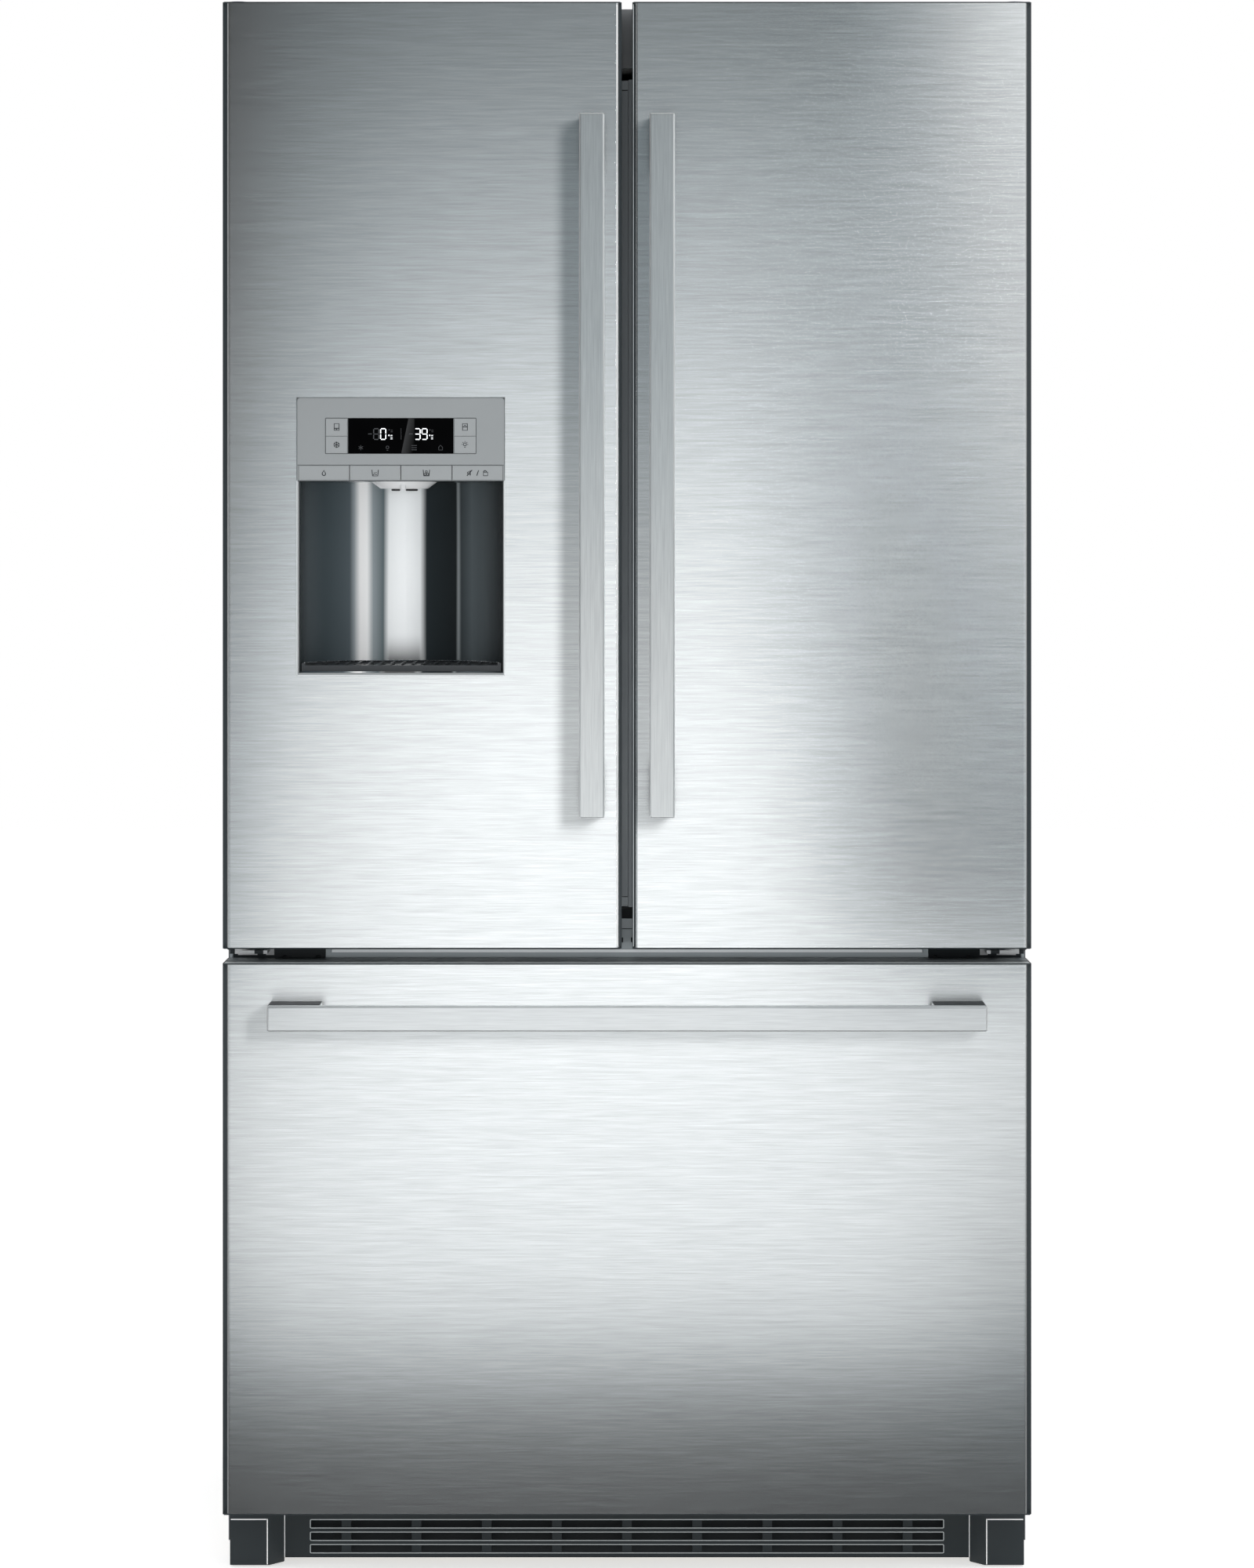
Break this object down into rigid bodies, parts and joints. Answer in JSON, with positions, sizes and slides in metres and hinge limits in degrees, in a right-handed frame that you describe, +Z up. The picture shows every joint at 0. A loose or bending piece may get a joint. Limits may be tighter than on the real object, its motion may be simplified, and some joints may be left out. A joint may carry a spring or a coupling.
{
  "type": "french door refrigerator",
  "caption": "Free-standing refrigerator with paired upper doors over a pull-out freezer drawer, bar handles, and an ice and water dispenser in the left door.",
  "frame": {"origin": "on the floor, under the centre of the bounding box", "axes": "+Z up, doors and drawer face -Y, +X to the right seen from the front"},
  "size_m": [0.905, 0.92, 1.777],
  "materials": {
    "steel_front": "horizontally brushed stainless steel",
    "steel_handle": "brushed stainless steel along the bar",
    "steel_recess": "vertically brushed stainless steel",
    "door_edge": "dark blue-grey satin profile",
    "core_white": "white moulded door liner over foam",
    "foam": "rigid insulating foam",
    "wrapper_grey": "textured grey coil-coated sheet",
    "rail_grey": "satin dark grey",
    "back_sheet": "galvanised grey sheet",
    "liner_white": "white vacuum-formed liner",
    "hinge_steel": "zinc-plated hinge",
    "cover_grey": "fine-textured grey plastic",
    "kick_grey": "satin dark grey plastic",
    "foot_black": "black nylon pad on a plated stem",
    "base_black": "black painted steel",
    "roller_nylon": "grey nylon",
    "machine_black": "black enamelled steel",
    "fan_black": "black moulded plastic",
    "shelf_rim": "white plastic rim",
    "shelf_glass": "tempered glass",
    "duct_white": "white plastic",
    "ice_white": "white plastic",
    "clear_bin": "clear polystyrene",
    "gasket_grey": "soft magnetic seal",
    "slide_steel": "zinc-plated slide",
    "freezer_bin": "frosted white plastic",
    "mullion_grey": "satin grey plastic",
    "bezel_grey": "silver-grey painted plastic",
    "display_black": "black display glass",
    "key_grey": "silver-grey painted plastic",
    "nozzle_white": "pale grey plastic",
    "tray_dark": "dark grey plastic"
  },
  "bodies": {
    "cabinet": {"cabinet_wrapper": "wrapper_grey", "cabinet_foam": "foam", "back_panel": "back_sheet", "fridge_liner": "liner_white", "freezer_liner": "liner_white", "mid_rail": "rail_grey", "top_hinges": "hinge_steel", "hinge_covers": "cover_grey", "mid_hinges": "hinge_steel", "kick_plate": "kick_grey", "foot_covers": "kick_grey", "leveling_feet": "foot_black", "base_frame": "base_black", "compressor": "machine_black", "shelf_frames": "shelf_rim", "shelf_panes": "shelf_glass", "air_duct": "duct_white", "ice_maker": "ice_white", "drawer_outer_rails": "slide_steel"},
    "door_left": {"door_left_skin": "steel_front", "door_left_core": "core_white", "door_left_frame": "door_edge", "door_left_gasket": "gasket_grey", "handle_left": "steel_handle", "door_left_bins": "clear_bin", "dispenser_bezel": "bezel_grey", "display_window": "display_black", "dispenser_recess": "steel_recess", "dispenser_nozzle": "nozzle_white", "mullion_hinges": "slide_steel"},
    "door_right": {"door_right_skin": "steel_front", "door_right_core": "core_white", "door_right_frame": "door_edge", "door_right_gasket": "gasket_grey", "handle_right": "steel_handle", "door_right_bins": "clear_bin"},
    "drawer": {"drawer_skin": "steel_front", "drawer_core": "core_white", "drawer_frame": "door_edge", "drawer_gasket": "gasket_grey", "handle_drawer": "steel_handle", "drawer_inner_rails": "slide_steel", "freezer_basket": "freezer_bin"},
    "mid_slides": {"drawer_mid_rails": "slide_steel"},
    "upper_tray": {"freezer_tray": "freezer_bin"},
    "left_crisper": {"crisper_left": "clear_bin"},
    "right_crisper": {"crisper_right": "clear_bin"},
    "mullion_post": {"mullion": "mullion_grey"},
    "dairy_flap": {"dairy_lid": "clear_bin"},
    "tray_drip": {"drip_tray": "tray_dark"},
    "fan_wheel": {"condenser_fan": "fan_black"},
    "rollers": {"rear_rollers": "roller_nylon"},
    "key_water_cap": {"key_water": "key_grey"},
    "key_crushed_ice_cap": {"key_crushed_ice": "key_grey"},
    "key_ice_cubes_cap": {"key_ice_cubes": "key_grey"},
    "key_lock_cap": {"key_lock": "key_grey"},
    "key_freezer_temperature_cap": {"key_freezer_temperature": "key_grey"},
    "key_quick_ice_cap": {"key_quick_ice": "key_grey"},
    "key_fridge_temperature_cap": {"key_fridge_temperature": "key_grey"},
    "key_light_cap": {"key_light": "key_grey"}
  },
  "joints": [
    {"name": "door_left_swing", "type": "hinge", "parent": "cabinet", "child": "door_left", "pos_m": [-0.438, -0.352, 1.2375], "axis": [0, 0, -1], "range_deg": [0, 130]},
    {"name": "door_right_swing", "type": "hinge", "parent": "cabinet", "child": "door_right", "pos_m": [0.438, -0.352, 1.2375], "axis": [0, 0, 1], "range_deg": [0, 130]},
    {"name": "drawer_pull", "type": "slide", "parent": "cabinet", "child": "drawer", "axis": [0, -1, 0], "range_m": [0, 0.44]},
    {"name": "drawer_mid_slides", "type": "slide", "parent": "cabinet", "child": "mid_slides", "axis": [0, -1, 0], "range_m": [0, 0.22]},
    {"name": "freezer_tray_slide", "type": "slide", "parent": "cabinet", "child": "upper_tray", "axis": [0, -1, 0], "range_m": [0, 0.264]},
    {"name": "crisper_left_slide", "type": "slide", "parent": "cabinet", "child": "left_crisper", "axis": [0, -1, 0], "range_m": [0, 0.25]},
    {"name": "crisper_right_slide", "type": "slide", "parent": "cabinet", "child": "right_crisper", "axis": [0, -1, 0], "range_m": [0, 0.25]},
    {"name": "mullion_fold", "type": "hinge", "parent": "door_left", "child": "mullion_post", "pos_m": [-0.041, -0.3087, 1.218], "axis": [0, 0, 1], "range_deg": [0, 90]},
    {"name": "lid_dairy_swing", "type": "hinge", "parent": "door_right", "child": "dairy_flap", "pos_m": [0.227, -0.256, 1.668], "axis": [1, 0, 0], "range_deg": [0, 92]},
    {"name": "drip_tray_lift", "type": "slide", "parent": "door_left", "child": "tray_drip", "axis": [0, 0, 1], "range_m": [0, 0.04]},
    {"name": "fan_spin", "type": "hinge", "parent": "cabinet", "child": "fan_wheel", "pos_m": [-0.074, 0.33, 0.17], "axis": [1, 0, 0], "continuous": true},
    {"name": "roller_spin", "type": "hinge", "parent": "cabinet", "child": "rollers", "pos_m": [0, 0.4, 0.025], "axis": [1, 0, 0], "continuous": true},
    {"name": "key_water_press", "type": "slide", "parent": "door_left", "child": "key_water_cap", "axis": [0, 1, 0], "range_m": [0, 0.0012], "stiffness_N_per_m": 900, "springref_m": -0.0008},
    {"name": "key_crushed_ice_press", "type": "slide", "parent": "door_left", "child": "key_crushed_ice_cap", "axis": [0, 1, 0], "range_m": [0, 0.0012], "stiffness_N_per_m": 900, "springref_m": -0.0008},
    {"name": "key_ice_cubes_press", "type": "slide", "parent": "door_left", "child": "key_ice_cubes_cap", "axis": [0, 1, 0], "range_m": [0, 0.0012], "stiffness_N_per_m": 900, "springref_m": -0.0008},
    {"name": "key_lock_press", "type": "slide", "parent": "door_left", "child": "key_lock_cap", "axis": [0, 1, 0], "range_m": [0, 0.0012], "stiffness_N_per_m": 900, "springref_m": -0.0008},
    {"name": "key_freezer_temperature_press", "type": "slide", "parent": "door_left", "child": "key_freezer_temperature_cap", "axis": [0, 1, 0], "range_m": [0, 0.0008], "stiffness_N_per_m": 900, "springref_m": -0.0008},
    {"name": "key_quick_ice_press", "type": "slide", "parent": "door_left", "child": "key_quick_ice_cap", "axis": [0, 1, 0], "range_m": [0, 0.0008], "stiffness_N_per_m": 900, "springref_m": -0.0008},
    {"name": "key_fridge_temperature_press", "type": "slide", "parent": "door_left", "child": "key_fridge_temperature_cap", "axis": [0, 1, 0], "range_m": [0, 0.0008], "stiffness_N_per_m": 900, "springref_m": -0.0008},
    {"name": "key_light_press", "type": "slide", "parent": "door_left", "child": "key_light_cap", "axis": [0, 1, 0], "range_m": [0, 0.0008], "stiffness_N_per_m": 900, "springref_m": -0.0008}
  ],
  "couplings": [
    {"joint": "drawer_mid_slides", "follows": "drawer_pull", "ratio": 0.5},
    {"joint": "freezer_tray_slide", "follows": "drawer_pull", "ratio": 0.6},
    {"joint": "crisper_left_slide", "follows": "door_left_swing", "m_per_rad": 0.11018},
    {"joint": "crisper_right_slide", "follows": "door_right_swing", "m_per_rad": 0.11018},
    {"joint": "mullion_fold", "follows": "door_left_swing", "ratio": 0.69231}
  ]
}
